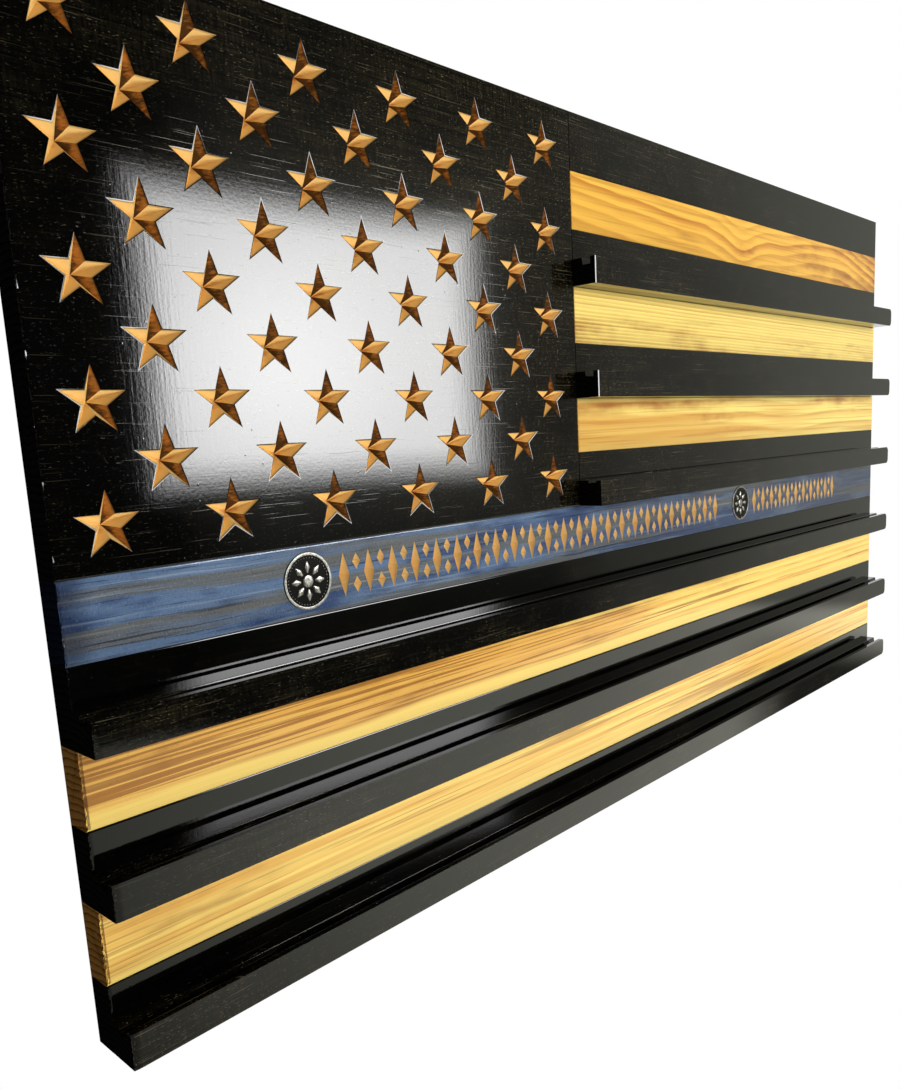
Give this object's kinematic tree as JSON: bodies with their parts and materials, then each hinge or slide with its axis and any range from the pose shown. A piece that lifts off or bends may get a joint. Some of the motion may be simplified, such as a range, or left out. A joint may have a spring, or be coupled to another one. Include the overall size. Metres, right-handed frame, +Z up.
{
  "type": "coin display plaque",
  "caption": "Wall plaque of flush wooden stripes with a carved star panel and forward ledges grooved to stand display coins on edge.",
  "frame": {"origin": "middle of the plaque's width and height, on the wall plane that its rubber bumpers touch", "axes": "+X to the right as seen from the front, +Y into the wall, +Z up"},
  "size_m": [0.9398, 0.0525, 0.4922],
  "materials": {
    "black_stained_pine": "black stain under a gloss clear coat",
    "burnt_pine": "torched pine under a gloss clear coat",
    "blue_stained_pine": "blue stain under a gloss clear coat",
    "plain_pine": "bare sanded pine",
    "aged_pewter": "antiqued, dark in the hollows",
    "zinc_steel": "zinc plated",
    "bumper_rubber": "matt"
  },
  "bodies": {
    "plaque": {"union_panel": "black_stained_pine", "stripe_01": "black_stained_pine", "stripe_02": "burnt_pine", "stripe_03": "black_stained_pine", "stripe_04": "burnt_pine", "stripe_05": "black_stained_pine", "stripe_06": "burnt_pine", "stripe_07": "black_stained_pine", "stripe_08": "blue_stained_pine", "stripe_09": "black_stained_pine", "stripe_10": "burnt_pine", "stripe_11": "black_stained_pine", "stripe_12": "burnt_pine", "stripe_13": "black_stained_pine", "coin_ledge_03": "black_stained_pine", "coin_ledge_05": "black_stained_pine", "coin_ledge_07": "black_stained_pine", "coin_ledge_09": "black_stained_pine", "coin_ledge_11": "black_stained_pine", "coin_ledge_13": "black_stained_pine", "medallion_left": "aged_pewter", "medallion_right": "aged_pewter", "batten_left": "plain_pine", "batten_joint": "plain_pine", "batten_right": "plain_pine", "batten_screws": "zinc_steel", "hanger_screws": "zinc_steel", "hanger_strap_left": "zinc_steel", "hanger_strap_right": "zinc_steel", "wall_bumpers": "bumper_rubber"},
    "ring_left": {"hanger_ring_left": "zinc_steel"},
    "ring_right": {"hanger_ring_right": "zinc_steel"}
  },
  "joints": [
    {"name": "ring_left_pivot", "type": "hinge", "parent": "plaque", "child": "ring_left", "pos_m": [-0.4109, -0.00274, 0.17335], "axis": [1, 0, 0], "range_deg": [0, 176]},
    {"name": "ring_right_pivot", "type": "hinge", "parent": "plaque", "child": "ring_right", "pos_m": [0.4109, -0.00274, 0.17335], "axis": [1, 0, 0], "range_deg": [0, 176]}
  ]
}
